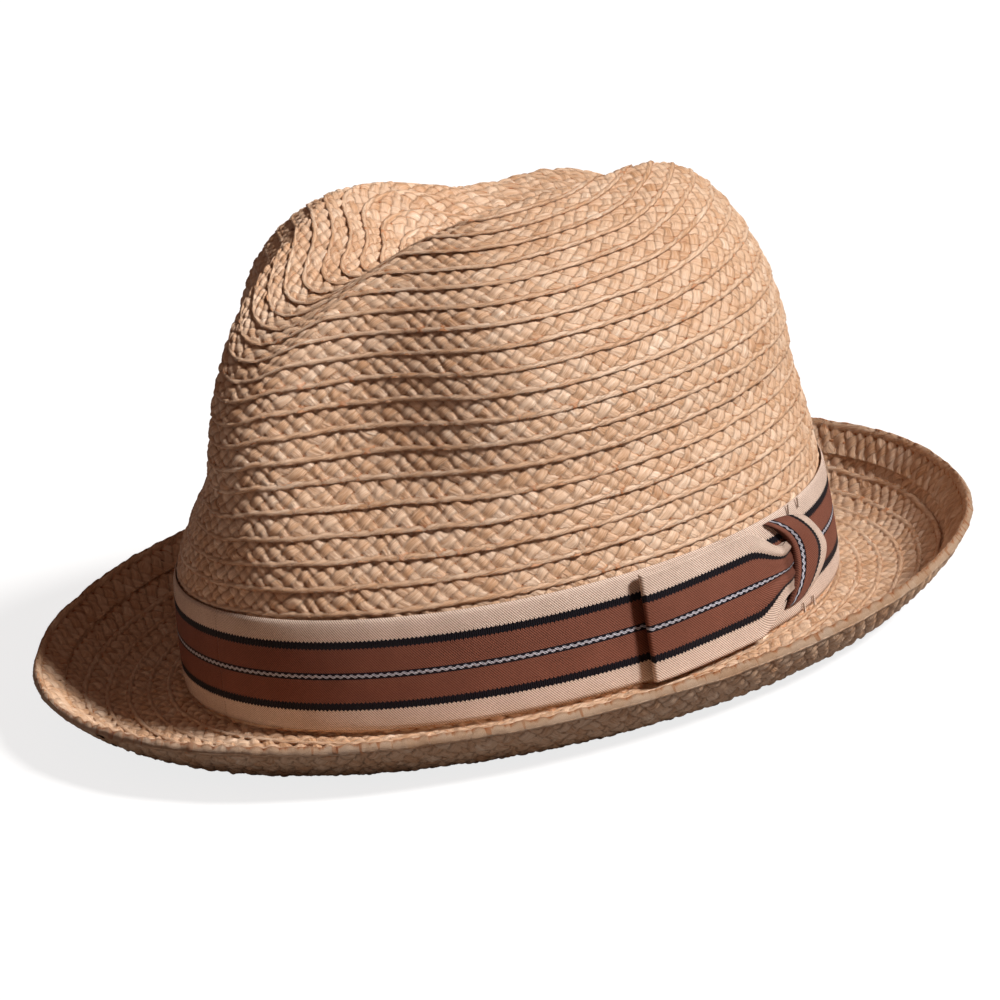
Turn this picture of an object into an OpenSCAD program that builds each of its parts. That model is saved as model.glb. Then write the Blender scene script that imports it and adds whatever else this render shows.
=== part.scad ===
// Sewn braid fedora with a striped hatband and a flat side bow.
// Millimetres. The hat rests on its brim, crown up; the front faces -Y
// and the bow sits on the wearer's left, +X.

/* [Crown] */
// outside length of the crown where it meets the brim
crown_length = 206; // [190:1:225]
// outside width of the crown where it meets the brim
crown_width = 174; // [158:1:192]
// height of the crown's ridges above the brim
crown_height = 137; // [110:1:160]
// height of the nearly straight side wall
wall_height = 66; // [48:1:80]
// depth of the long dent in the tip
dent_depth = 28; // [10:1:36]
// how far each front pinch is pushed in
pinch_depth = 18; // [6:1:22]
// thickness of the sewn braid
braid_thickness = 2.4; // [1.6:0.1:3.4]

/* [Brim] */
// width of the brim from crown to rim
brim_width = 42; // [32:1:58]
// how high the rim curls up above the crown's foot, in front
brim_rise = 13.5; // [6:0.5:20]
// width of the last round of braid, the one at the rim
edge_round_width = 7; // [5:0.5:10]

/* [Hatband and bow] */
// width of the ribbon
ribbon_width = 32; // [20:1:42]
// thickness of the ribbon as it lies on the crown
ribbon_thickness = 0.8; // [0.5:0.1:1.2]
// length of the bow's loose flap, along the ribbon
flap_length = 50; // [34:1:64]
// width of the wrap across the bow, along the ribbon
knot_width = 20; // [10:1:24]
// height of the wrap across the bow
knot_height = 26; // [16:1:34]

/* [Lining] */
// height of the sweatband inside the crown
sweatband_height = 30; // [22:1:38]
// thickness of the sweatband
sweatband_thickness = 1.2; // [0.8:0.1:2]
// width of the blank size tab
label_width = 18; // [10:1:26]

/* [Hidden] */
half_length = crown_length / 2;
half_width = crown_width / 2;
egg = 0.05;              // how much narrower the oval is in front
front_flat = 0.02;       // how much the oval is flattened in front
wall_taper = 0.07;       // share of the width the wall loses on the way up
shoulder_power = 2.3;    // how square the shoulder is
shoulder_height = crown_height - wall_height;
crown_lean = 3;          // how far the tip leans back

brim_drop = 0.9;         // how far the brim's resting ring lies below the crown's foot
seat = braid_thickness + brim_drop;   // height of the crown's foot
sewn_gap = 0.2;          // between layers sewn to each other
free_gap = 0.35;         // between the loose flap and what it lies on
ribbon_lift = 1.6;       // from the brim up to the ribbon
brim_flat = 5;           // where the brim begins to curl up
brim_slope = 4.6;        // how far it would slope down on the way out, if it did not curl
slope_reach = 30;
curl_power = 2.15;       // how sharply the brim curls up
back_rise = 4;           // how much higher the rim is at the back
front_extra = 1.5;       // how much wider the brim is in front, and narrower at the back
edge_swell = 0.5;        // how much thicker the rim round is, each side

pinch_angle = 36;        // pinch position, from the front
pinch_spread = 22;
pinch_level = 86;        // height of the deepest point of the pinch
dent_centre = 3;         // middle of the dent, towards the back
dent_half_length = 105;
dent_half_width = 36;
dent_front_share = 0.8;  // how deep the dent still is where it runs out in front

flap_root_angle = 112;   // where the flap comes out of the knot
flap_thickness = 1.3;    // two layers of ribbon
flap_flare = 1.6;        // how far the flap's free end stands off the ribbon
knot_bulge = 3.4;        // how far the knot stands out
knot_clearance = 0.8;    // between the flap's root and the knot
stitch_size = 0.5;
stitch_length = 3;
stitch_count = 48;
label_height = 14;
label_thickness = 0.5;

around = 72;             // steps round the crown
up_wall = 9;
up_shoulder = 15;

straw = [0.85, 0.69, 0.50];
straw_dark = [0.78, 0.60, 0.42];
ribbon_brown = [0.45, 0.24, 0.17];
ribbon_navy = [0.07, 0.07, 0.12];
cream = [0.88, 0.80, 0.68];

// ---------- shape of the crown ----------
function smooth(a, b, x) =
    let (t = min(max((x - a) / (b - a), 0), 1)) t * t * (3 - 2 * t);

// oval of the head: angle 0 is the front, 90 the wearer's left
function oval(a) = [
    half_width * (1 - egg * cos(a)) * sin(a),
    -half_length * (cos(a) * (1 - front_flat * max(cos(a), 0)) + front_flat / 2)];

// share of the oval and height, for a place up the open crown (0 foot, 1 shoulder, 2 tip)
function share(t) = t <= 1
    ? 1 - wall_taper * pow(t, 2.2)
    : (1 - wall_taper) * pow(max(cos(90 * (t - 1)), 0), 2 / shoulder_power);
function level(t) = t <= 1
    ? wall_height * t
    : wall_height + shoulder_height * pow(sin(90 * min(t - 1, 1)), 2 / shoulder_power);

function front_distance(a) = abs(((a + 180) % 360) - 180);
function pinch(t, a) =
    let (z = level(t), k = (front_distance(a) - pinch_angle) / pinch_spread)
    pinch_depth * exp(-k * k) * smooth(30, pinch_level, z)
    * (1 - 0.45 * smooth(pinch_level, crown_height - 4, z)) * smooth(0.1, 0.55, share(t));

// the dent along the tip; it fades out down the wall, so that the foot stays level
function dent(x, y) =
    let (q = pow(x / dent_half_width, 2) + pow((y - dent_centre) / dent_half_length, 2))
    dent_depth * pow(max(1 - q, 0), 1.3)
    * (dent_front_share + (1 - dent_front_share) * smooth(-60, 15, y));

// hand shaping: the right ridge sags, while the back and the right of the nose stand higher
function sag(x, y, z) =
    -14 * smooth(5, -45, x) * smooth(60, 125, z) * exp(-pow((y - 38) / 34, 2))
    + 6 * smooth(10, 60, y) * smooth(80, 130, z)
    + 2.5 * smooth(-5, -45, y) * smooth(20, -20, x) * smooth(80, 125, z);

function crown_point(t, a) =
    let (o = oval(a), s = share(t), z = level(t),
         x = o[0] * s, y = o[1] * s, p = pinch(t, a),
         inward = min(abs(x) / 14, 1) * (x < 0 ? -1 : 1))
    [x - 0.66 * p * inward, y + 0.75 * p + front_extra + crown_lean * smooth(10, crown_height, z),
     seat + z - dent(x, y) * smooth(0, wall_height - 6, z) + sag(x, y, z)];

function unit(v) = v / max(norm(v), 0.000001);
function crown_normal(t, a) = unit(cross(
    crown_point(t, a + 0.5) - crown_point(t, a - 0.5),
    crown_point(min(t + 0.005, 1.999), a) - crown_point(max(t - 0.005, 0), a)));

// a point lifted off the crown's outside by d; negative goes inside
function skin(t, a, d) = crown_point(t, a) + d * crown_normal(t, a);
// same, but the height above the brim is given and kept
function wall(z, a, d) =
    let (p = skin(z / wall_height, a, d)) [p[0], p[1], seat + z];

// ---------- closed sheets ----------
// front and back are grids of rows; a wrapped sheet closes on itself round the crown
function flat(grid) = [for (row = grid) for (p = row) p];
module sheet(front, back, wrapped = false) {
    rows = len(front);
    cols = len(front[0]);
    last = wrapped ? cols - 1 : cols - 2;
    n = rows * cols;
    function at(r, c) = r * cols + (c % cols);
    function quad(a, b, c, d) = [[a, b, c], [a, c, d]];
    polyhedron(points = concat(flat(front), flat(back)), faces = concat(
        [for (r = [0 : rows - 2]) for (c = [0 : last])
            for (f = quad(at(r, c), at(r + 1, c), at(r + 1, c + 1), at(r, c + 1))) f],
        [for (r = [0 : rows - 2]) for (c = [0 : last])
            for (f = quad(n + at(r, c), n + at(r, c + 1), n + at(r + 1, c + 1), n + at(r + 1, c))) f],
        [for (c = [0 : last]) for (f = quad(at(0, c), at(0, c + 1), n + at(0, c + 1), n + at(0, c))) f],
        [for (c = [0 : last])
            for (f = quad(at(rows - 1, c + 1), at(rows - 1, c), n + at(rows - 1, c), n + at(rows - 1, c + 1))) f],
        wrapped ? [] : [for (r = [0 : rows - 2])
            for (f = quad(at(r + 1, 0), at(r, 0), n + at(r, 0), n + at(r + 1, 0))) f],
        wrapped ? [] : [for (r = [0 : rows - 2])
            for (f = quad(at(r, cols - 1), at(r + 1, cols - 1),
                          n + at(r + 1, cols - 1), n + at(r, cols - 1))) f]));
}

// ---------- pieces ----------
steps = concat([for (i = [0 : up_wall - 1]) i / up_wall],
               [for (i = [0 : up_shoulder - 1]) 1 + i / up_shoulder]);
turns = [for (j = [0 : around - 1]) 360 * j / around];

function inside(t, a) =
    let (p = skin(t, a, -braid_thickness)) t == 0 ? [p[0], p[1], seat] : p;

module crown_braid() {
    rows = len(steps);
    n = rows * around;
    function at(r, c) = r * around + (c % around);
    top = 2 * n;
    tip = crown_point(2, 0);
    points = concat(
        [for (t = steps) for (a = turns) crown_point(t, a)],
        [for (t = steps) for (a = turns) inside(t, a)],
        [tip, tip - [0, 0, braid_thickness]]);
    color(straw) polyhedron(points = points, faces = concat(
        [for (r = [0 : rows - 2]) for (c = [0 : around - 1]) each [
            [at(r, c), at(r + 1, c), at(r + 1, c + 1)], [at(r, c), at(r + 1, c + 1), at(r, c + 1)]]],
        [for (r = [0 : rows - 2]) for (c = [0 : around - 1]) each [
            [n + at(r, c), n + at(r, c + 1), n + at(r + 1, c + 1)],
            [n + at(r, c), n + at(r + 1, c + 1), n + at(r + 1, c)]]],
        [for (c = [0 : around - 1]) each [
            [at(0, c), at(0, c + 1), n + at(0, c + 1)], [at(0, c), n + at(0, c + 1), n + at(0, c)]]],
        [for (c = [0 : around - 1]) [at(rows - 1, c), top, at(rows - 1, c + 1)]],
        [for (c = [0 : around - 1]) [n + at(rows - 1, c), n + at(rows - 1, c + 1), top + 1]]));
}

// the brim slopes down to the ring it rests on, then curls up to the rim
function reach(a) = brim_width + front_extra * cos(a);
function rim_rise(a) = brim_rise + back_rise * (1 - cos(a)) / 2;
function curl(e, a) = max(-brim_drop, (rim_rise(a) + brim_slope)
    * pow(max(e - brim_flat, 0) / (reach(a) - brim_flat), curl_power)
    - brim_slope * smooth(0, slope_reach, e));
function curl_slope(e, a) = atan2(curl(e + 0.5, a) - curl(e - 0.5, a), 1);
function brim_point(e, a, d) =
    let (o = oval(a), s = curl_slope(e, a), r = e - d * sin(s))
    [o[0] + r * sin(a), o[1] - r * cos(a) + front_extra, seat + curl(e, a) + d * cos(s)];

brim_start = -braid_thickness;
function brim_end(a) = reach(a) - edge_round_width;
brim_steps = [0, 0.14, 0.28, 0.42, 0.56, 0.7, 0.85, 1];
module brim_braid() color(straw)
    sheet([for (k = concat([brim_start], brim_steps)) [for (a = turns)
              brim_point(k < 0 ? k : k * brim_end(a), a, -braid_thickness)]],
          [for (k = concat([brim_start], brim_steps)) [for (a = turns)
              brim_point(k < 0 ? k : k * brim_end(a), a, 0)]], wrapped = true);

edge_steps = [0, 0.35, 0.7, 1];
function swell(k) = edge_swell * smooth(0, 0.35, k);
module brim_edge_braid() color(straw_dark)
    sheet([for (k = edge_steps) [for (a = turns)
              brim_point(brim_end(a) + k * edge_round_width, a, -braid_thickness - swell(k))]],
          [for (k = edge_steps) [for (a = turns)
              brim_point(brim_end(a) + k * edge_round_width, a, swell(k))]], wrapped = true);

ribbon_foot = ribbon_lift;
ribbon_steps = [for (k = [0 : 5]) ribbon_foot + ribbon_width * k / 5];
ribbon_back = sewn_gap;
ribbon_face = ribbon_back + ribbon_thickness;
module hatband_ribbon() color(ribbon_brown)
    sheet([for (z = ribbon_steps) [for (a = turns) wall(z, a, ribbon_face)]],
          [for (z = ribbon_steps) [for (a = turns) wall(z, a, ribbon_back)]], wrapped = true);

// degrees of turn for a length along the side of the ribbon
side_reach = half_length * 0.5 + half_width * 0.5;
function turn(length) = length / side_reach * 180 / PI;

function flap_back(k) = ribbon_face + free_gap + flap_flare * smooth(0.55, 0, k);
function flap_face(k) = flap_back(k) + flap_thickness + 0.6 * smooth(0.3, 0, k);
root_height = knot_height - 11;  // the flap is gathered to this height at the knot
flap_steps = [for (k = [0 : 14]) k / 14];
function flap_height(k, v) =
    let (h = ribbon_width - 0.6 - (ribbon_width - 0.6 - root_height) * smooth(0.66, 1, k))
    ribbon_foot + ribbon_width / 2 + h * (v - 0.5);
function flap_angle(k) = flap_root_angle - turn(flap_length) * (1 - k);
module bow_flap() color(ribbon_brown)
    sheet([for (v = [0 : 0.25 : 1]) [for (k = flap_steps)
              wall(flap_height(k, v), flap_angle(k), flap_face(k))]],
          [for (v = [0 : 0.25 : 1]) [for (k = flap_steps)
              wall(flap_height(k, v), flap_angle(k), flap_back(k))]]);

knot_start = flap_root_angle + turn(knot_clearance);
knot_end = knot_start + turn(knot_width);
knot_back = ribbon_face + 0.1;
knot_steps = [0, 0.12, 0.35, 0.65, 0.88, 1];
function knot_face(k, v) = knot_back + 0.6
    + (knot_bulge - 0.6) * pow(sin(10 + 160 * k), 0.6) * pow(sin(14 + 152 * v), 0.5);
function knot_height_at(v) = ribbon_foot + ribbon_width / 2 + knot_height * (v - 0.5);
function knot_at(k) = knot_start + (knot_end - knot_start) * k;
module bow_knot() color(ribbon_navy)
    sheet([for (v = knot_steps) [for (k = knot_steps)
              wall(knot_height_at(v), knot_at(k), knot_face(k, v))]],
          [for (v = knot_steps) [for (k = knot_steps)
              wall(knot_height_at(v), knot_at(k), knot_back)]]);

// one thread stitch lying on the wall, turned to follow it
module stitch(z, a, d, upright = false) {
    p = wall(z, a, d);
    n = crown_normal(z / wall_height, a);
    translate(p) rotate([0, 0, atan2(n[1], n[0])])
        cube([stitch_size, upright ? stitch_size : stitch_length,
              upright ? stitch_length : stitch_size], center = true);
}

module bow_tack_stitches() color(ribbon_navy)
    for (v = [-1, 1]) for (k = [0.35, 0.65])
        stitch(ribbon_foot + ribbon_width / 2 + v * (knot_height / 2 + 1.9), knot_at(k),
               ribbon_face + stitch_size, upright = true);

sweat_face = -braid_thickness - sewn_gap;
sweat_inner = sweat_face - sweatband_thickness;
sweat_steps = [for (k = [0 : 4]) 0.6 + sweatband_height * k / 4];
module sweatband() color(cream)
    sheet([for (z = sweat_steps) [for (a = turns) wall(z, a, sweat_face)]],
          [for (z = sweat_steps) [for (a = turns) wall(z, a, sweat_inner)]], wrapped = true);

module sweatband_stitches() color(straw_dark)
    for (j = [0 : stitch_count - 1])
        stitch(4, 360 * (j + 0.5) / stitch_count, sweat_inner - stitch_size);

label_turn = turn(label_width) / 2;
label_steps = [-1, -0.33, 0.33, 1];
label_face = sweat_inner - sewn_gap;
label_foot = sweatband_height - label_height - 2;
module size_label() color(cream)
    sheet([for (v = [0, 1]) [for (k = label_steps)
              wall(label_foot + label_height * v, 180 + k * label_turn, label_face)]],
          [for (v = [0, 1]) [for (k = label_steps)
              wall(label_foot + label_height * v, 180 + k * label_turn, label_face - label_thickness)]]);

crown_braid();
brim_braid();
brim_edge_braid();
hatband_ribbon();
bow_flap();
bow_knot();
bow_tack_stitches();
sweatband();
sweatband_stitches();
size_label();
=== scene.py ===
"""Sewn braid fedora: the visual model, over the CAD frame."""
import math
import bpy
import numpy as np
from mathutils import Matrix, Vector


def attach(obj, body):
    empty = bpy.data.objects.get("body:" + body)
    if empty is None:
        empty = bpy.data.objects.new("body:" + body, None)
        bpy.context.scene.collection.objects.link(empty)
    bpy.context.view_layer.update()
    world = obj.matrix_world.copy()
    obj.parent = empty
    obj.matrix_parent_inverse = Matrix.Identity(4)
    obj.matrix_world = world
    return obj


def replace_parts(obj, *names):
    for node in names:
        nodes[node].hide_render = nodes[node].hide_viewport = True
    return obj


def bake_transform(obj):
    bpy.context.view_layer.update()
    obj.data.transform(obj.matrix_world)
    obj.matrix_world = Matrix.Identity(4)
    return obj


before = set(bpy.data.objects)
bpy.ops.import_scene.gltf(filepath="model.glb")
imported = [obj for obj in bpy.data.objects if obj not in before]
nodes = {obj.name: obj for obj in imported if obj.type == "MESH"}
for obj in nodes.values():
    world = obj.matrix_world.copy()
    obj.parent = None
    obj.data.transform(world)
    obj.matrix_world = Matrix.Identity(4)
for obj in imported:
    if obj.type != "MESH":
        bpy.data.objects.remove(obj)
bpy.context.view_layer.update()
MM = 0.001
FULL = 2 * math.pi
fine = 1.0      # sampling density

# ---------------------------------------------------------------- the hat's form, in mm
HALF_LENGTH, HALF_WIDTH = 103.0, 87.0
EGG, FRONT_FLAT, TAPER = 0.05, 0.02, 0.07
SHOULDER_POWER = 2.3
WALL, CROWN, LEAN_BACK = 66.0, 137.0, 3.0
SEAT, DROP = 3.3, 0.9
BRIM_WIDTH, FRONT_EXTRA = 42.0, 1.5
BRIM_RISE, BACK_RISE, BRIM_FLAT, CURL_POWER = 13.5, 4.0, 5.0, 2.15
BRIM_SLOPE, SLOPE_REACH = 4.6, 30.0
PINCH_ANGLE, PINCH_SPREAD, PINCH_DEPTH, PINCH_LEVEL = 36.0, 22.0, 18.0, 86.0
DENT_DEPTH, DENT_CENTRE, DENT_HALF_LENGTH, DENT_HALF_WIDTH = 28.0, 3.0, 105.0, 36.0
DENT_FRONT = 0.8            # share of its depth that the dent keeps where it runs out in front
RIBBON_FOOT, RIBBON_WIDTH = 1.6, 32.0
TIP = 1.9999                # how far up the open crown the last round of braid goes (2 is the tip)
BRIM_INNER = -2.0           # the brim runs on this far inside the crown's foot
EDGE_LIFT = 0.25            # the rim's round stands this far over the brim


def smooth(a, b, x):
    t = np.clip((np.asarray(x, float) - a) / (b - a), 0, 1)
    return t * t * (3 - 2 * t)


def oval(a):
    c = np.cos(a)
    return (HALF_WIDTH * (1 - EGG * c) * np.sin(a),
            -HALF_LENGTH * (c * (1 - FRONT_FLAT * np.maximum(c, 0)) + FRONT_FLAT / 2))


def share(t):
    top = (1 - TAPER) * np.clip(np.cos(math.pi / 2 * (t - 1)), 0, 1) ** (2 / SHOULDER_POWER)
    return np.where(t <= 1, 1 - TAPER * np.clip(t, 0, 1) ** 2.2, top)


def level(t):
    top = WALL + (CROWN - WALL) * np.sin(math.pi / 2 * np.clip(t - 1, 0, 1)) ** (2 / SHOULDER_POWER)
    return np.where(t <= 1, WALL * t, top)


def pinch(t, a):
    z = level(t)
    off_front = np.degrees(np.abs((a + math.pi) % FULL - math.pi))
    k = (off_front - PINCH_ANGLE) / PINCH_SPREAD
    return (PINCH_DEPTH * np.exp(-k * k) * smooth(30, PINCH_LEVEL, z)
            * (1 - 0.45 * smooth(PINCH_LEVEL, CROWN - 4, z)) * smooth(0.1, 0.55, share(t)))


def dent(x, y):
    q = (x / DENT_HALF_WIDTH) ** 2 + ((y - DENT_CENTRE) / DENT_HALF_LENGTH) ** 2
    run_out = DENT_FRONT + (1 - DENT_FRONT) * smooth(-60, 15, y)
    return DENT_DEPTH * np.clip(1 - q, 0, None) ** 1.3 * run_out


def sag(x, y, z):
    """Hand shaping: the right ridge sags, and the back and the right of the nose stand higher."""
    return (-14 * smooth(5, -45, x) * smooth(60, 125, z) * np.exp(-((y - 38) / 34) ** 2)
            + 6 * smooth(10, 60, y) * smooth(80, 130, z)
            + 2.5 * smooth(-5, -45, y) * smooth(20, -20, x) * smooth(80, 125, z))


def crown_point(t, a):
    t = np.asarray(t, float)
    ox, oy = oval(a)
    s, z = share(t), level(t)
    x, y, p = ox * s, oy * s, pinch(t, a)
    inward = np.minimum(np.abs(x) / 14, 1) * np.where(x < 0, -1, 1)
    back = FRONT_EXTRA + LEAN_BACK * smooth(10, CROWN, z)
    return np.stack(np.broadcast_arrays(x - 0.66 * p * inward, y + 0.75 * p + back,
                                        SEAT + z - dent(x, y) * smooth(0, WALL - 6, z) + sag(x, y, z)), -1)


def crown_normal(t, a):
    t, e = np.asarray(t, float), math.radians(0.5)
    across = crown_point(t, a + e) - crown_point(t, a - e)
    up = crown_point(np.minimum(t + 0.005, 1.999), a) - crown_point(np.maximum(t - 0.005, 0), a)
    n = np.cross(across, up)
    return n / np.maximum(np.linalg.norm(n, axis=-1, keepdims=True), 1e-9)


def skin(t, a, d):
    return crown_point(t, a) + np.asarray(d)[..., None] * crown_normal(t, a)


def wall(z, a, d):
    z, a, d = np.broadcast_arrays(np.asarray(z, float), a, d)
    p = skin(z / WALL, a, d)
    p[..., 2] = SEAT + z
    return p


def reach(a):
    return BRIM_WIDTH + FRONT_EXTRA * np.cos(a)


def curl(e, a):
    """The brim slopes down to the ring it rests on, then curls up to the rim."""
    rise = BRIM_RISE + BACK_RISE * (1 - np.cos(a)) / 2
    up = (rise + BRIM_SLOPE) * (np.maximum(e - BRIM_FLAT, 0) / (reach(a) - BRIM_FLAT)) ** CURL_POWER
    return np.maximum(up - BRIM_SLOPE * smooth(0, SLOPE_REACH, e), -DROP)


def brim_point(e, a, d):
    s = np.arctan2(curl(e + 0.5, a) - curl(e - 0.5, a), 1.0)
    ox, oy = oval(a)
    r = e - d * np.sin(s)
    return np.stack(np.broadcast_arrays(ox + r * np.sin(a), oy - r * np.cos(a) + FRONT_EXTRA,
                                        SEAT + curl(e, a) + d * np.cos(s)), -1)


# up the crown: length along the surface to t
_t = np.linspace(0, 2, 4001)
_r, _z = 95 * share(_t), level(_t)
_arc = np.concatenate([[0], np.cumsum(np.hypot(np.diff(_r), np.diff(_z)))])
CROWN_ARC = _arc[-1]


def t_at(s):
    return np.interp(s, _arc, _t)


# ---------------------------------------------------------------- small noise helpers
def chance(i, seed):
    """A repeatable random number from 0 to 1 for each whole number."""
    v = np.sin(np.asarray(i, float) * 12.9898 + seed * 78.233) * 43758.5453
    return v - np.floor(v)


def drift(x, seed):
    """Smooth noise along x, from -1 to 1, one wave per unit."""
    i = np.floor(x)
    f = x - i
    f = f * f * (3 - 2 * f)
    return 2 * (chance(i, seed) * (1 - f) + chance(i + 1, seed) * f) - 1


# ---------------------------------------------------------------- meshes
def mesh_piece(name, points, faces, attributes=(), smooth_faces=True):
    """points in mm, faces as an array of quads; attributes are (name, kind, values per point)."""
    me = bpy.data.meshes.new(name)
    faces = np.asarray(faces, np.int32)
    me.vertices.add(len(points))
    me.vertices.foreach_set("co", (np.asarray(points) * MM).astype(np.float32).ravel())
    me.loops.add(faces.size)
    me.loops.foreach_set("vertex_index", faces.ravel())
    me.polygons.add(len(faces))
    me.polygons.foreach_set("loop_start", np.arange(0, faces.size, faces.shape[1], dtype=np.int32))
    me.polygons.foreach_set("use_smooth", np.full(len(faces), smooth_faces))
    me.update(calc_edges=True)
    for label, kind, values in attributes:
        key = "value" if kind == "FLOAT" else "vector"
        me.attributes.new(label, kind, "POINT").data.foreach_set(
            key, np.asarray(values, np.float32).ravel())
    me.validate()
    ob = bpy.data.objects.new(name, me)
    bpy.context.scene.collection.objects.link(ob)
    return ob


def ring_faces(n_along, n_ring, closed_along=False):
    """Quads over a tube of rings; caps are left to the caller."""
    i = np.arange(n_along if closed_along else n_along - 1)[:, None]
    j = np.arange(n_ring)[None, :]
    a = i * n_ring + j
    b = i * n_ring + (j + 1) % n_ring
    k = (i + 1) % n_along
    c, d = k * n_ring + (j + 1) % n_ring, k * n_ring + j
    return np.stack([a, b, c, d], -1).reshape(-1, 4)


# ---------------------------------------------------------------- plaited braid
PITCH = 5.2           # mm along the braid per leaf
CORD = 1.75           # width of the rounded edge where the leaves turn back
SLOPE = 1.15          # how steeply the two sets of leaves cross
CORD_LEAN = 2.6       # how far the turned-back leaves lean along the edge


def plait(x, y, seed, depth=1.0):
    """Height, leaf number, fibre coordinates and painted crevice shade of a braid's face.
    x runs along the braid and y from its outer edge, in mm. Two sets of flat leaves
    cross, each going over one and under one."""
    xw = x + 1.1 * drift(x / 9.0, seed) + 0.6 * drift(x / 3.3, seed + 5)
    rise = y - CORD + 0.55 * drift(x / 6.1, seed + 6) + 0.25 * drift(x / 2.3, seed + 7)
    p, q = (xw + SLOPE * rise) / PITCH, (xw - SLOPE * rise) / PITCH
    i, j = np.floor(p), np.floor(q)
    f, g = p - i, q - j
    leaf_a = i * 57 + np.round((q + i - 0.5) / 2)
    leaf_b = j * 57 + np.round((p + j - 1.5) / 2) + 5000
    ridge_a = np.clip(1 - np.abs(2 * f - 1) ** 2.0, 0, 1) ** 0.7
    ridge_b = np.clip(1 - np.abs(2 * g - 1) ** 2.0, 0, 1) ** 0.7
    high_a = (0.46 + 0.34 * chance(leaf_a, seed + 1)) * ridge_a + 0.42 * np.cos(math.pi * (q + i - 0.5))
    high_b = (0.46 + 0.34 * chance(leaf_b, seed + 1)) * ridge_b - 0.42 * np.cos(math.pi * (p + j - 0.5))
    # each leaf's own crumple
    high_a += (0.07 * drift((xw + SLOPE * rise) / 0.9, seed + 11)
               + 0.10 * (chance(leaf_a, 4.1) - 0.5) * (f - 0.5))
    high_b += (0.07 * drift((xw - SLOPE * rise) / 0.9, seed + 12)
               + 0.10 * (chance(leaf_b, 4.1) - 0.5) * (g - 0.5))
    on_a = high_a > high_b
    body = (np.maximum(high_a, high_b) - 0.70) * depth
    body -= 0.30 * depth * smooth(CORD + 1.1, CORD - 0.4, y)
    # the rounded edge
    turn = (xw - CORD_LEAN * y) / PITCH * 1.6 + 0.25
    k = np.floor(turn)
    round_ = np.sqrt(np.clip(1 - ((y - CORD / 2) / (CORD / 2)) ** 2, 0, 1))
    bump = np.clip(1 - np.abs(2 * (turn - k) - 1) ** 2, 0, 1) ** 0.6
    cord = (-0.80 + 0.95 * round_ * (0.80 + 0.20 * bump) + 0.14 * drift(x / 4.3, seed + 3)) * depth
    h = np.maximum(body, cord)
    on_cord = cord > body
    ident = np.where(on_cord, np.floor(k / 3) + 9000, np.where(on_a, leaf_a, leaf_b)) + seed * 17.0
    lean = np.where(on_cord, -CORD_LEAN * 1.6, np.where(on_a, SLOPE, -SLOPE))
    norm = np.sqrt(1 + lean ** 2)
    along = (lean * xw - rise) / norm
    across = (xw + lean * rise) / norm
    ridge = np.where(on_a, ridge_a, ridge_b)
    # painted shade: darker at the leaves' edges, where the two sets of leaves meet in height, towards the
    # groove by the rounded edge, and on the rounded edge's sides
    body_crevice_shade = (np.minimum(ridge, 0.15 + 3.2 * np.abs(high_a - high_b))
                * (0.3 + 0.7 * smooth(CORD - 0.3, CORD + 0.8, y)))
    pit = np.where(on_cord, round_ * (0.6 + 0.4 * bump), body_crevice_shade)
    return h, ident, np.stack([along, across, ident * 3.7], -1), pit


DEEPEST = 5.6         # angle, in radians, where the leaves stand out most


def braid_turn(name, place, length_at, width, angles, x0, seed, thick,
               step=0.38, ny=25, nb=9, back_relief=0.25, tilt=0.13, closed=False):
    """One turn of sewn braid. place(s, a, d) gives a point; s grows towards the braid's inner edge."""
    a0, a1 = angles
    probe = np.linspace(a0, a1, 400)
    line = place(length_at(probe) + 3, probe, 0 * probe)
    run = np.concatenate([[0], np.cumsum(np.linalg.norm(np.diff(line, axis=0), axis=1))])
    n = max(int(run[-1] / (step / fine)), 60)
    x = np.linspace(0, run[-1], n)
    a = np.interp(x, run, probe)
    x = x + x0
    ny, nb = max(int(ny * fine ** 0.7), 11), max(int(nb * fine ** 0.5), 6)
    # front rows crowd towards the rounded edge
    yf = width * np.linspace(0, 1, ny) ** 1.12
    yb = width * np.linspace(1, 0, nb + 2)[1:-1]
    X, Y = np.meshgrid(x, yf, indexing="ij")
    A = np.repeat(a[:, None], ny, 1)
    h, ident, fib, pit = plait(X, Y, seed, 0.98 + 0.24 * np.cos(A - DEEPEST))
    edge = 0.22 * drift(X / 11, seed + 21) + 0.10 * drift(X / 3.7, seed + 22)
    lift = 0.14 * drift(X / 23, seed + 31)
    S = length_at(A) + Y + edge
    front = place(S, A, h - tilt * Y + lift)
    XB, YB = np.meshgrid(x, yb, indexing="ij")
    AB = np.repeat(a[:, None], nb, 1)
    hb, identb, fibb, crevice_shade_b = plait(-XB + 1.7, YB, seed + 50)
    edge_b = 0.22 * drift(XB / 11, seed + 21) + 0.10 * drift(XB / 3.7, seed + 22)
    back = place(length_at(AB) + YB + edge_b, AB,
                 -thick - tilt * YB - back_relief * (hb + 0.4) / 0.5 + 0.14 * drift(XB / 23, seed + 31))
    points = np.concatenate([front, back], 1)
    ring = points.shape[1]
    faces = ring_faces(n, ring, closed)
    attributes = [
        ("fibre", "FLOAT_VECTOR", np.concatenate([fib, fibb], 1)),
        ("leaf", "FLOAT", np.concatenate([chance(ident, 3.3), chance(identb, 3.3)], 1)),
        # painted crevice shade, read by the raffia material
        ("pit", "FLOAT", np.concatenate([pit, crevice_shade_b], 1)),
    ]
    ob = mesh_piece(name, points.reshape(-1, 3), faces[:, ::-1], attributes)
    return ob, x0 + run[-1]


def crown_place(s, a, d):
    return skin(np.minimum(t_at(s), TIP), a, d)


def brim_place(s, a, d):
    return brim_point(np.maximum(reach(a) - s, BRIM_INNER), a, d)


def edge_place(s, a, d):
    return brim_place(s, a, d + EDGE_LIFT)


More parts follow.
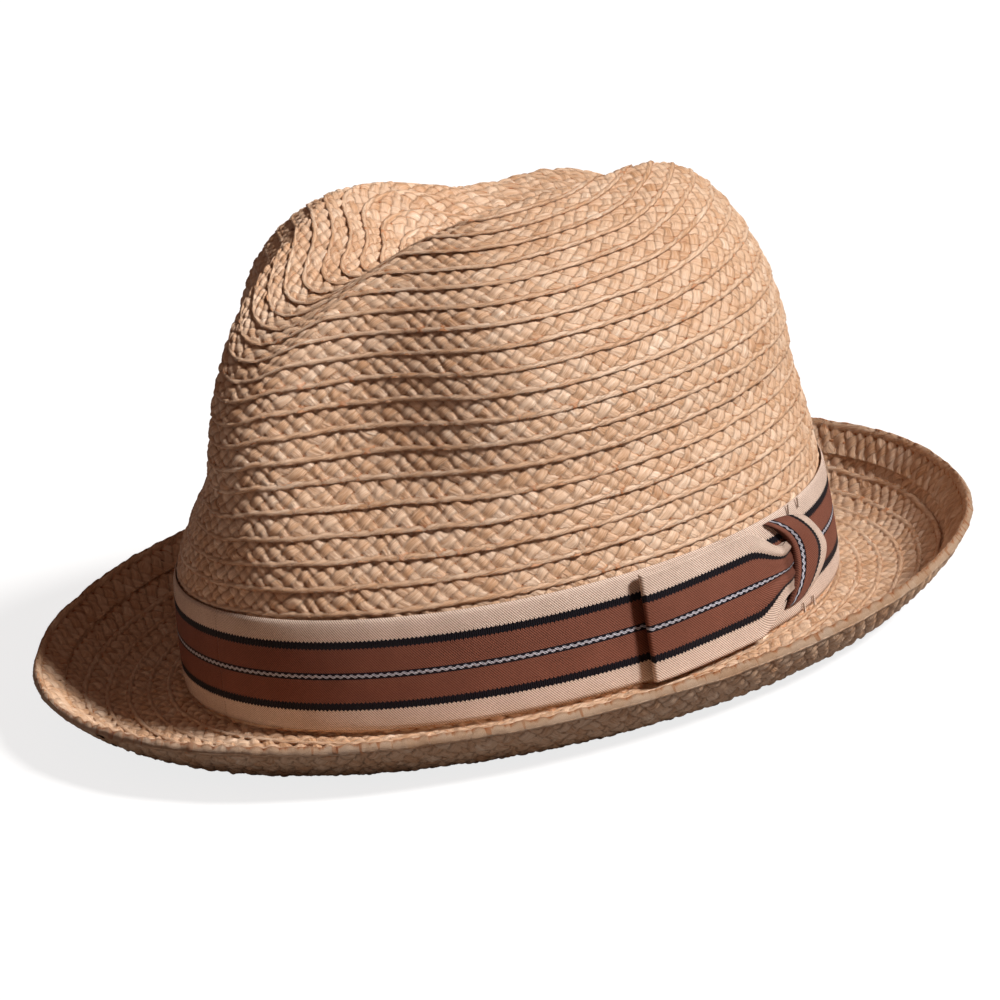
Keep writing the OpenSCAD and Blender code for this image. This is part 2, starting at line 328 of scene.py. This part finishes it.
# ---------------------------------------------------------------- node helpers
class Nodes:
    """Small wrapper that builds a material's node tree."""

    def __init__(self, name):
        self.mat = bpy.data.materials.new(name)
        self.mat.use_nodes = True
        self.tree = self.mat.node_tree
        self.tree.nodes.clear()
        self.out = self.add("ShaderNodeOutputMaterial")
        self.bsdf = self.add("ShaderNodeBsdfPrincipled")
        self.tree.links.new(self.bsdf.outputs[0], self.out.inputs[0])

    def add(self, kind, **settings):
        node = self.tree.nodes.new(kind)
        for key, value in settings.items():
            setattr(node, key, value)
        return node

    def put(self, value, socket):
        if hasattr(value, "is_output"):
            self.tree.links.new(value, socket)
        else:
            socket.default_value = value

    def math(self, op, a, b=0.0):
        node = self.add("ShaderNodeMath", operation=op)
        for value, socket in zip((a, b), node.inputs):
            self.put(value, socket)
        return node.outputs[0]

    def attribute(self, name, output="Fac"):
        return self.add("ShaderNodeAttribute", attribute_name=name).outputs[output]

    def split(self, vector):
        node = self.add("ShaderNodeSeparateXYZ")
        self.put(vector, node.inputs[0])
        return node.outputs

    def combine(self, x, y, z):
        node = self.add("ShaderNodeCombineXYZ")
        for value, socket in zip((x, y, z), node.inputs):
            self.put(value, socket)
        return node.outputs[0]

    def noise(self, vector, scale, detail, rough):
        node = self.add("ShaderNodeTexNoise")
        self.put(vector, node.inputs["Vector"])
        node.inputs["Scale"].default_value = scale
        node.inputs["Detail"].default_value = detail
        node.inputs["Roughness"].default_value = rough
        return node.outputs["Fac"]

    def ramp(self, fac, stops, kind="LINEAR"):
        node = self.add("ShaderNodeValToRGB")
        node.color_ramp.interpolation = kind
        while len(node.color_ramp.elements) < len(stops):
            node.color_ramp.elements.new(0.5)
        for element, (at, colour) in zip(node.color_ramp.elements, stops):
            element.position = at
            element.color = (*colour, 1)
        self.put(fac, node.inputs[0])
        return node.outputs[0]

    def mix(self, fac, a, b, mode="MIX"):
        node = self.add("ShaderNodeMix", data_type="RGBA", blend_type=mode)
        self.put(fac, node.inputs[0])
        for value, socket in ((a, node.inputs[6]), (b, node.inputs[7])):
            self.put((*value, 1) if isinstance(value, tuple) else value, socket)
        return node.outputs[2]

    def bump(self, height, distance, strength):
        node = self.add("ShaderNodeBump")
        node.inputs["Distance"].default_value = distance
        node.inputs["Strength"].default_value = strength
        self.put(height, node.inputs["Height"])
        return node.outputs[0]

    def finish(self, colour, rough, normal=None, **constants):
        self.put(colour, self.bsdf.inputs["Base Color"])
        self.put(rough, self.bsdf.inputs["Roughness"])
        if normal is not None:
            self.put(normal, self.bsdf.inputs["Normal"])
        for key, value in constants.items():
            self.bsdf.inputs[key.replace("_", " ")].default_value = value
        return self.mat


def raffia(name, tint=1.0):
    m = Nodes(name)
    along, across, ident = m.split(m.attribute("fibre", "Vector"))
    leaf, pit = m.attribute("leaf"), m.attribute("pit")
    stretch = m.combine(m.math("MULTIPLY", along, 0.16), m.math("MULTIPLY", across, 1.7), ident)
    streak = m.noise(stretch, 1.0, 3.0, 0.65)
    fibres = m.noise(m.combine(m.math("MULTIPLY", along, 0.30), m.math("MULTIPLY", across, 5.0), ident),
                     1.0, 2.0, 0.6)
    place = m.add("ShaderNodeTexCoord").outputs["Object"]
    patch = m.noise(place, 38.0, 3.0, 0.55)
    tone = m.math("ADD", m.math("MULTIPLY", leaf, 0.30),
                  m.math("ADD", m.math("MULTIPLY", streak, 0.95), m.math("MULTIPLY", patch, 0.34)))
    tone = m.math("SUBTRACT", tone, 0.26)
    c = tint
    straw = m.ramp(tone, [
        (0.05, (0.36 * c, 0.155 * c, 0.066 * c)),
        (0.28, (0.58 * c, 0.320 * c, 0.170 * c)),
        (0.48, (0.72 * c, 0.465 * c, 0.295 * c)),
        (0.70, (0.81 * c, 0.580 * c, 0.410 * c)),
        (0.92, (0.93 * c, 0.770 * c, 0.620 * c))])
    fine_line = m.ramp(fibres, [(0.34, (0.66, 0.50, 0.38)), (0.50, (1.0, 1.0, 1.0))])
    colour = m.mix(0.55, straw, m.mix(1.0, straw, fine_line, "MULTIPLY"))
    # painted shade: dark red-brown in the crevices between leaves and along the rounded edge's sides
    crevice_shade_colour = m.ramp(pit, [(0.02, (0.34, 0.105, 0.034)), (0.19, (0.79, 0.46, 0.26)), (0.42, (1.0, 1.0, 1.0))])
    colour = m.mix(1.0, colour, crevice_shade_colour, "MULTIPLY")
    speck = m.ramp(m.noise(place, 420.0, 1.0, 0.5), [(0.77, (1, 1, 1)), (0.82, (0.30, 0.18, 0.12))])
    colour = m.mix(0.8, colour, m.mix(1.0, colour, speck, "MULTIPLY"))
    rough = m.math("ADD", 0.34, m.math("MULTIPLY", streak, 0.25))
    height = m.math("ADD", m.math("MULTIPLY", streak, 0.6), m.math("MULTIPLY", fibres, 0.4))
    normal = m.bump(height, 0.0007, 0.9)
    return m.finish(colour, rough, normal, Specular_IOR_Level=0.5)


STRIPES = {"cream": (0.70, 0.56, 0.47), "navy": (0.005, 0.004, 0.009),
           "brown": (0.215, 0.078, 0.050), "white": (0.62, 0.62, 0.68)}


def ribbon_cloth(name):
    """Woven striped ribbon. Attribute rib holds length in mm, place across 0..1, and a value for painted
    shade at the knot's edges and where the flap runs under the knot.
    """
    m = Nodes(name)
    u, v, fold_shade = m.split(m.attribute("rib", "Vector"))
    cream, navy, brown, white = (STRIPES[k] for k in ("cream", "navy", "brown", "white"))
    place = m.add("ShaderNodeTexCoord").outputs["Object"]
    half = m.math("ABSOLUTE", m.math("SUBTRACT", v, 0.5))
    # toothed edges of the dark stripes
    tooth = m.math("PINGPONG", u, 0.62)
    jag = m.math("ADD", half, m.math("MULTIPLY", m.math("SUBTRACT", tooth, 0.31), 0.026))
    base = m.ramp(jag, [(0.0, brown), (0.245, navy), (0.312, cream)], "CONSTANT")
    # diagonal twill: fine threads across the cloth
    wv = m.math("MULTIPLY", v, 32.0)
    diag = m.math("SINE", m.math("MULTIPLY", m.math("ADD", u, m.math("MULTIPLY", wv, 0.9)), 8.2))
    weft = m.math("SINE", m.math("MULTIPLY", u, 13.0))
    warp = m.math("SINE", m.math("MULTIPLY", wv, 17.0))
    grain = m.noise(m.combine(m.math("MULTIPLY", u, 0.8), m.math("MULTIPLY", wv, 3.0), 0.0), 1.0, 3.0, 0.6)
    twill = m.ramp(m.math("ADD", m.math("MULTIPLY", diag, 0.42), m.math("ADD", grain, 0.02)),
                   [(0.18, (0.52, 0.46, 0.44)), (0.72, (1.16, 1.16, 1.16))])
    base = m.mix(1.0, base, twill, "MULTIPLY")
    # the centre line: two dark threads and a light twisted one
    wave = m.math("MULTIPLY", m.math("SINE", m.math("MULTIPLY", u, 2.9)), 0.0075)
    centre = m.math("ABSOLUTE", m.math("ADD", m.math("SUBTRACT", v, 0.5), wave))
    dark = m.math("LESS_THAN", half, 0.031)
    light = m.math("LESS_THAN", centre, 0.0115)
    twist = m.ramp(m.math("SINE", m.math("MULTIPLY", m.math("ADD", u, m.math("MULTIPLY", wv, 1.4)), 5.8)),
                   [(0.10, (0.30, 0.30, 0.36)), (0.62, white)])
    base = m.mix(dark, base, navy)
    base = m.mix(light, base, twist)
    wear = m.ramp(m.noise(place, 60.0, 3.0, 0.6), [(0.3, (0.86, 0.84, 0.82)), (0.7, (1.05, 1.05, 1.05))])
    base = m.mix(1.0, base, wear, "MULTIPLY")
    # painted shade: darker at the knot's edges and where the flap runs in under the knot
    base = m.mix(fold_shade, base, m.mix(1.0, base, (0.35, 0.28, 0.26), "MULTIPLY"))
    rib = m.math("MULTIPLY", m.math("GREATER_THAN", jag, 0.235), m.math("LESS_THAN", jag, 0.325))
    height = m.math("ADD", m.math("MULTIPLY", m.math("SINE", m.math("MULTIPLY", u, 10.13)), rib),
                    m.math("ADD", m.math("MULTIPLY", diag, 0.35),
                           m.math("ADD", m.math("MULTIPLY", weft, 0.12), m.math("MULTIPLY", warp, 0.12))))
    height = m.math("ADD", height, m.math("MULTIPLY", light, 1.4))
    normal = m.bump(height, 0.00012, 0.8)
    return m.finish(base, 0.72, normal, Sheen_Weight=0.05, Sheen_Roughness=0.4, Specular_IOR_Level=0.18)


def plain_cloth(name, colour, threads=9000.0):
    m = Nodes(name)
    place = m.add("ShaderNodeTexCoord").outputs["Object"]
    x, y, z = m.split(place)
    twill = m.math("SINE", m.math("MULTIPLY", m.math("ADD", m.math("ADD", x, y), z), threads))
    grain = m.noise(place, 900.0, 3.0, 0.6)
    tone = m.ramp(m.math("ADD", m.math("MULTIPLY", twill, 0.15), grain),
                  [(0.2, tuple(0.72 * c for c in colour)), (0.8, colour)])
    normal = m.bump(m.math("ADD", twill, grain), 0.0001, 0.6)
    return m.finish(tone, 0.85, normal, Sheen_Weight=0.2)


# ---------------------------------------------------------------- the braid
crown_raffia, brim_raffia, edge_raffia = raffia("raffia crown"), raffia("raffia brim", 0.97), \
    raffia("raffia edge", 0.94)
ROUND = 6.75          # mm from one round to the next on the crown
STRIP = 9.0           # width of the braid
turns = (CROWN_ARC - STRIP) / ROUND + 1.1      # until the last round covers the tip all round
travel = 0.0
for i in range(math.ceil(turns)):
    low = lambda a: ROUND * a / FULL
    ob, travel = braid_turn(
        f"crown_braid_round_{i + 1:02d}", crown_place, low, STRIP,
        (i * FULL, min(i + 1, turns) * FULL), travel, seed=2.0, thick=1.25)
    ob.data.materials.append(crown_raffia)
    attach(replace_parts(ob, "crown_braid"), "hat")

# the round at the crown's foot, behind the ribbon, closes the end of the spiral
def foot_place(s, a, d):
    p = crown_place(np.maximum(s, 0), a, d - 0.5)
    p[..., 2] += np.minimum(s, 0)
    return p


ob, _ = braid_turn("crown_braid_foot_round", foot_place, lambda a: -1.5 + 0 * a, 8.6,
                   (0, FULL), 0.0, seed=4.0, thick=0.8)
ob.data.materials.append(crown_raffia)
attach(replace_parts(ob, "crown_braid"), "hat")

BRIM_ROUND, BRIM_STRIP = 6.0, 8.2      # round to round, and the braid's width
brim_turns = 7
travel = 0.0
for i in range(brim_turns):
    # s counts inward from the rim; the rim round lies over this braid's first turn
    low = lambda a: 1.2 + BRIM_ROUND * (a / FULL)
    ob, travel = braid_turn(
        f"brim_braid_round_{i + 1:02d}", brim_place, low, BRIM_STRIP,
        (i * FULL, (i + 1) * FULL), travel, seed=7.0, thick=1.2, nb=15, back_relief=0.62, tilt=0.085)
    ob.data.materials.append(brim_raffia)
    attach(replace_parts(ob, "brim_braid"), "hat")

ob, _ = braid_turn("brim_edge_braid_round", edge_place, lambda a: 0.4 + 0 * a, 7.2,
                   (0, FULL), 0.0, seed=9.0, thick=2.0, nb=15, back_relief=0.62, tilt=0.0)
ob.data.materials.append(edge_raffia)
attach(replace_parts(ob, "brim_edge_braid"), "hat")

# ---------------------------------------------------------------- the ribbon
ribbon_material = ribbon_cloth("striped ribbon")


def strip_piece(name, us, vs, face, back, rib, closed=False):
    """A thin closed sheet: face(u, v) and back(u, v) give points; rib(u, v) the cloth coordinates."""
    U, V = np.meshgrid(us, vs, indexing="ij")
    UB, VB = np.meshgrid(us, vs[::-1], indexing="ij")
    points = np.concatenate([face(U, V), back(UB, VB)], 1)
    cloth = np.concatenate([rib(U, V), rib(UB, VB)], 1)
    n, ring = points.shape[:2]
    faces = ring_faces(n, ring, closed)
    if not closed:
        half = ring // 2
        j = np.arange(half - 1)
        cap = np.stack([j, j + 1, ring - 2 - j, ring - 1 - j], -1)
        faces = np.concatenate([faces, cap[:, ::-1], cap + (n - 1) * ring])
    return mesh_piece(name, points.reshape(-1, 3), faces[:, ::-1],
                      [("rib", "FLOAT_VECTOR", cloth)])


def arc_table(z, d, a0=0.0, a1=FULL, n=2000):
    a = np.linspace(a0, a1, n)
    p = wall(z, a, d)
    return a, np.concatenate([[0], np.cumsum(np.linalg.norm(np.diff(p, axis=0), axis=1))])


ra, rl = arc_table(RIBBON_FOOT + RIBBON_WIDTH / 2, 0.8)


def length_on_ribbon(a):
    return np.interp(a, ra, rl)


def ribbon_wave(a, v):
    u = length_on_ribbon(a % FULL)
    return 0.16 * drift(u / 34, 3.1) + 0.10 * np.sin(v * 7 + u / 15) * drift(u / 21, 8.4)


def ribbon_face(a, v):
    soft = 0.35 * (np.abs(2 * v - 1) ** 14)
    return wall(RIBBON_FOOT + RIBBON_WIDTH * v, a, 0.95 + ribbon_wave(a, v) * 0.6 - soft)


def ribbon_back(a, v):
    return wall(RIBBON_FOOT + RIBBON_WIDTH * v, a, 0.35 + ribbon_wave(a, v) * 0.6)


def ribbon_rib(a, v):
    return np.stack([length_on_ribbon(a), v, 0 * v], -1)


band = strip_piece("hatband_ribbon_cloth", np.linspace(0, FULL, int(900 * fine)), np.linspace(0, 1, 29),
                   ribbon_face, ribbon_back, ribbon_rib)
band.data.materials.append(ribbon_material)
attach(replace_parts(band, "hatband_ribbon"), "hat")

# ---------------------------------------------------------------- the bow
KNOT_HEIGHT = 25.0
FLAP_ROOT = math.radians(112.0)
side = (HALF_LENGTH + HALF_WIDTH) / 2
FLAP_LENGTH = 50.0
MIDDLE = RIBBON_FOOT + RIBBON_WIDTH / 2
UNDER = 1.12          # the flap's cloth runs on under the knot to here
STRIPE_SHIFT = 4.1    # mm, so that the flap's centre thread doesn't line up with the band's
BEND_LENGTH = 16.0    # mm of flap next to the knot, the stretch that bends when the real flap lifts; this script doesn't bend it
GAUGE = 0.5           # thickness of the flap's cloth


def flap_height(k):
    """Height of the flap: full width, gathered where it enters the knot (k = 1)."""
    return (RIBBON_WIDTH - 0.6) - (RIBBON_WIDTH - 0.6 - (KNOT_HEIGHT - 11)) * smooth(0.70, 1.0, k)


def flap_angle(k):
    return FLAP_ROOT - FLAP_LENGTH / side * (1 - k)


def flap_lift(k):
    return 1.0 + 0.35 + 1.6 * smooth(0.55, 0, k)


def pleats(k, v):
    """The gather's small folds, running into the knot."""
    return smooth(0.62, 1.0, k) * (0.55 * np.cos(v * 21.0 + 0.6) + 0.35 * np.cos(v * 34 + 2))


def flap_outer(k, v):
    d = (flap_lift(k) + 1.3 + 0.5 * smooth(0.3, 0, k) + 0.55 * smooth(0.6, 0.95, k)
         + pleats(k, v) * 0.5 - 1.6 * smooth(0.98, UNDER, k))
    return wall(MIDDLE + flap_height(k) * (v - 0.5), flap_angle(k), d)


def flap_inner(k, v):
    d = flap_lift(k) + 0.1 - 0.3 * smooth(0.98, UNDER, k) + 0 * v
    return wall(MIDDLE + flap_height(k) * (v - 0.5), flap_angle(k), d)


def flap_rib(k, v):
    # the third value is painted shade where the flap runs in under the knot
    return np.stack([length_on_ribbon(flap_angle(k)) + STRIPE_SHIFT + 0 * v, v,
                     0.55 * smooth(0.95, 1.0, k) + 0 * v], -1)


# one ribbon folded double: out along the face, round the fold, back along the band
def flap_mesh():
    nk, nv = int(150 * fine), 41
    ks = np.linspace(0, UNDER, nk)
    vs = np.linspace(0, 1, nv)
    turn = np.linspace(0, math.pi, 11)[1:-1]
    rows, cloth = [], []
    for k in ks[::-1]:
        kk = np.full(nv, k)
        rows.append(flap_outer(kk, vs))
        cloth.append(flap_rib(kk, vs))
    outer_end, inner_end = flap_outer(np.zeros(nv), vs), flap_inner(np.zeros(nv), vs)
    centre, half = (outer_end + inner_end) / 2, (outer_end - inner_end) / 2
    forward = flap_outer(np.zeros(nv), vs) - flap_outer(np.full(nv, 0.03), vs)
    forward /= np.linalg.norm(forward, axis=1, keepdims=True)
    radius = np.linalg.norm(half, axis=1, keepdims=True)
    for w in turn:
        rows.append(centre + half * math.cos(w) + forward * radius * math.sin(w))
        c = flap_rib(np.zeros(nv), vs)
        c[:, 0] -= 1.6 * w / math.pi
        cloth.append(c)
    for k in ks:
        kk = np.full(nv, k)
        rows.append(flap_inner(kk, vs))
        cloth.append(flap_rib(kk, vs))
    P = np.stack(rows)          # mid surface, n x nv
    C = np.stack(cloth)
    du, dv = np.gradient(P, axis=0), np.gradient(P, axis=1)
    n = np.cross(du, dv)
    n /= np.maximum(np.linalg.norm(n, axis=-1, keepdims=True), 1e-9)
    if n[0, nv // 2] @ (P[0, nv // 2] * [1, 1, 0]) < 0:
        n = -n
    face, back = P + n * GAUGE / 2, (P - n * GAUGE / 2)[:, ::-1]
    points = np.concatenate([face, back], 1)
    cloth = np.concatenate([C, C[:, ::-1]], 1)
    rows_n, ring = points.shape[:2]
    faces = ring_faces(rows_n, ring)
    j = np.arange(ring // 2 - 1)
    cap = np.stack([j, j + 1, ring - 2 - j, ring - 1 - j], -1)
    faces = np.concatenate([faces, cap[:, ::-1], cap + (rows_n - 1) * ring])
    length = np.linalg.norm(np.diff(P[:, nv // 2], axis=0), axis=1).sum()
    return mesh_piece("bow_flap_cloth", points.reshape(-1, 3), faces,
                      [("rib", "FLOAT_VECTOR", cloth)]), length


flap, flap_run = flap_mesh()
flap.data.materials.append(ribbon_material)
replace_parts(flap, "bow_flap")
root_point = wall(MIDDLE, FLAP_ROOT, 2.6) * MM
bend_end = wall(MIDDLE, FLAP_ROOT - BEND_LENGTH / side, 2.6) * MM
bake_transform(flap)

# the knot: the ribbon folded in half lengthways and wrapped over the bow's middle
KNOT_BACK = 1.05      # its back stands this far off the crown


def knot_surface(w, v, d):
    """w across the wrap 0..1 from the bow's flap side; v up the wrap 0..1. The wrap is pulled
    to a narrow gather at its foot, bulges in the middle and leans towards the flap at the top."""
    low, high = np.minimum(v / 0.5, 1), np.maximum(v - 0.5, 0) / 0.5
    left = -1.5 + 6.5 * (1 - (1 - low) ** 2) - 9.8 * high ** 2.2
    right = 7.8 + 15.6 * (1 - (1 - low) ** 2) - 8.0 * high ** 1.5
    z = 5.6 + 26.8 * v - 4.2 * v * w ** 2
    return wall(z, FLAP_ROOT + (left + (right - left) * w) / side, d)


def knot_bulge(w, v):
    over = np.clip(np.sin(math.pi * np.clip(v, 0, 1)), 0, 1) ** 0.38
    across = 0.55 + 0.45 * np.clip(np.sin(math.pi * (0.04 + 0.90 * w)), 0, 1) ** 0.6
    crease = 0.45 * np.exp(-((w - 0.13) / 0.05) ** 2) + 0.25 * np.exp(-((w - 0.66) / 0.07) ** 2)
    return 1.1 + 3.3 * over * across - crease * over + 0.16 * np.sin(v * 9 + w * 4)


def knot_mesh():
    ws, vs = np.linspace(0, 1, int(60 * fine)), np.linspace(0, 1, int(110 * fine))
    # rows run up the wrap; its long edges curl under
    V, W = np.meshgrid(vs, ws, indexing="ij")
    face = knot_surface(W, V, knot_bulge(W, V))
    back = knot_surface(W[:, ::-1], V, np.full(W.shape, KNOT_BACK))
    points = np.concatenate([face, back], 1)
    # cloth: only part of the ribbon's width shows, from just past the centre line to one edge
    across = 0.40 + 0.60 * W
    # painted shade at the wrap's flap-side edge, at its foot and at its top
    fold_shade = 0.6 * smooth(0.06, 0.0, W) + 0.35 * smooth(0.08, 0.0, V) + 0.35 * smooth(0.92, 1.0, V)
    cloth = np.stack([V * KNOT_HEIGHT * 1.25, across, fold_shade], -1)
    cloth = np.concatenate([cloth, cloth[:, ::-1]], 1)
    n, ring = points.shape[:2]
    faces = ring_faces(n, ring)
    j = np.arange(ring // 2 - 1)
    cap = np.stack([j, j + 1, ring - 2 - j, ring - 1 - j], -1)
    faces = np.concatenate([faces, cap[:, ::-1], cap + (n - 1) * ring])
    return mesh_piece("bow_knot_cloth", points.reshape(-1, 3), faces,
                      [("rib", "FLOAT_VECTOR", cloth)])


knot = knot_mesh()
knot.data.materials.append(ribbon_material)
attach(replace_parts(knot, "bow_knot"), "hat")

# ---------------------------------------------------------------- lining and thread, on the CAD nodes
lining = plain_cloth("cotton twill", (0.66, 0.58, 0.46))
for name, slot_name, material in (
        ("sweatband", "cotton_twill", lining),
        ("size_label", "label_woven", plain_cloth("woven label", (0.72, 0.70, 0.66))),
        ("sweatband_stitches", "thread_straw", plain_cloth("straw thread", (0.50, 0.36, 0.22))),
        ("bow_tack_stitches", "thread_cream", plain_cloth("cream thread", (0.68, 0.55, 0.46)))):
    nodes[name].data.materials.clear()
    nodes[name].data.materials.append(material)

# ---------------------------------------------------------------- floor, light and camera
FLOOR_HALF = 6000.0
FLOOR_GLOW = 0.80                     # what makes the floor look white to the camera
SOFT_LIGHT = (1.0, 0.60, 0.46, 1)     # the studio's light on the hat's shaded side
SOFT_STRENGTH = 0.115
corners = [[-1, -1, 0], [1, -1, 0], [1, 1, 0], [-1, 1, 0]]
floor = mesh_piece("floor", np.array(corners, float) * FLOOR_HALF, np.array([[0, 1, 2, 3]]))
fm = Nodes("pale floor")
# a white studio floor: seen white, but returning little light to the hat's underside
fm.finish((0.26, 0.26, 0.26, 1), 0.9)
glow, seen_floor = fm.add("ShaderNodeEmission"), fm.add("ShaderNodeLightPath")
dark_floor = fm.add("ShaderNodeBsdfDiffuse")
both, pick = fm.add("ShaderNodeAddShader"), fm.add("ShaderNodeMixShader")
glow.inputs["Strength"].default_value = FLOOR_GLOW
dark_floor.inputs["Color"].default_value = (0.26, 0.24, 0.23, 1)
for out, into in ((glow.outputs[0], both.inputs[0]), (fm.bsdf.outputs[0], both.inputs[1]),
                  (seen_floor.outputs["Is Camera Ray"], pick.inputs[0]),
                  (dark_floor.outputs[0], pick.inputs[1]), (both.outputs[0], pick.inputs[2]),
                  (pick.outputs[0], fm.out.inputs[0])):
    fm.tree.links.new(out, into)
floor.data.materials.append(fm.mat)

scene = bpy.context.scene
world = bpy.data.worlds.new("studio")
scene.world = world
world.use_nodes = True
tree = world.node_tree
background = tree.nodes["Background"]
shade = tree.nodes.new("ShaderNodeMix")       # white behind the hat, a warmer soft light on it
shade.data_type = "RGBA"
shade.inputs[6].default_value, shade.inputs[7].default_value = SOFT_LIGHT, (1, 1, 1, 1)
tree.links.new(shade.outputs[2], background.inputs[0])
seen, strength = tree.nodes.new("ShaderNodeLightPath"), tree.nodes.new("ShaderNodeMapRange")
strength.inputs["To Min"].default_value = SOFT_STRENGTH
strength.inputs["To Max"].default_value = 1.0
tree.links.new(seen.outputs["Is Camera Ray"], shade.inputs[0])
tree.links.new(seen.outputs["Is Camera Ray"], strength.inputs["Value"])
tree.links.new(strength.outputs[0], background.inputs[1])
scene.view_settings.view_transform = "Standard"


def sun(name, azimuth, elevation, strength, softness, colour):
    a, e = math.radians(azimuth), math.radians(elevation)
    back = Vector((math.sin(a) * math.cos(e), -math.cos(a) * math.cos(e), math.sin(e)))
    light = bpy.data.lights.new(name, "SUN")
    light.energy, light.angle, light.color = strength, math.radians(softness), colour
    ob = bpy.data.objects.new(name, light)
    ob.location = back
    ob.rotation_mode = "QUATERNION"
    ob.rotation_quaternion = (-back).to_track_quat("-Z", "Y")
    scene.collection.objects.link(ob)


sun("key", 119, 41, 4.35, 12, (1.0, 0.985, 0.965))
sun("fill", 40, 55, 0.05, 60, (1.0, 0.80, 0.68))

AZIMUTH, ELEVATION, ROLL = 55.0, 17.2, 8.3
DISTANCE, LENS = 1500.0, 182.5
SHIFT_RIGHT, SHIFT_UP, BASE = 1.5, 32.5, 4.9
a, e, r = (math.radians(v) for v in (AZIMUTH, ELEVATION, ROLL))
back = Vector((math.sin(a) * math.cos(e), -math.cos(a) * math.cos(e), math.sin(e)))
right = Vector((math.cos(a), math.sin(a), 0))
up = back.cross(right)
target = right * SHIFT_RIGHT + up * SHIFT_UP + Vector((0, FRONT_EXTRA, BASE))
camera_x = right * math.cos(r) - up * math.sin(r)
camera_y = right * math.sin(r) + up * math.cos(r)
cam = bpy.data.objects.new("camera", bpy.data.cameras.new("camera"))
scene.collection.objects.link(cam)
cam.data.lens, cam.data.sensor_width = LENS, 36.0
cam.matrix_world = Matrix.Translation((target + back * DISTANCE) * MM) @ Matrix(
    (camera_x, camera_y, back)).transposed().to_4x4()
cam.data.clip_end = 100
scene.camera = cam
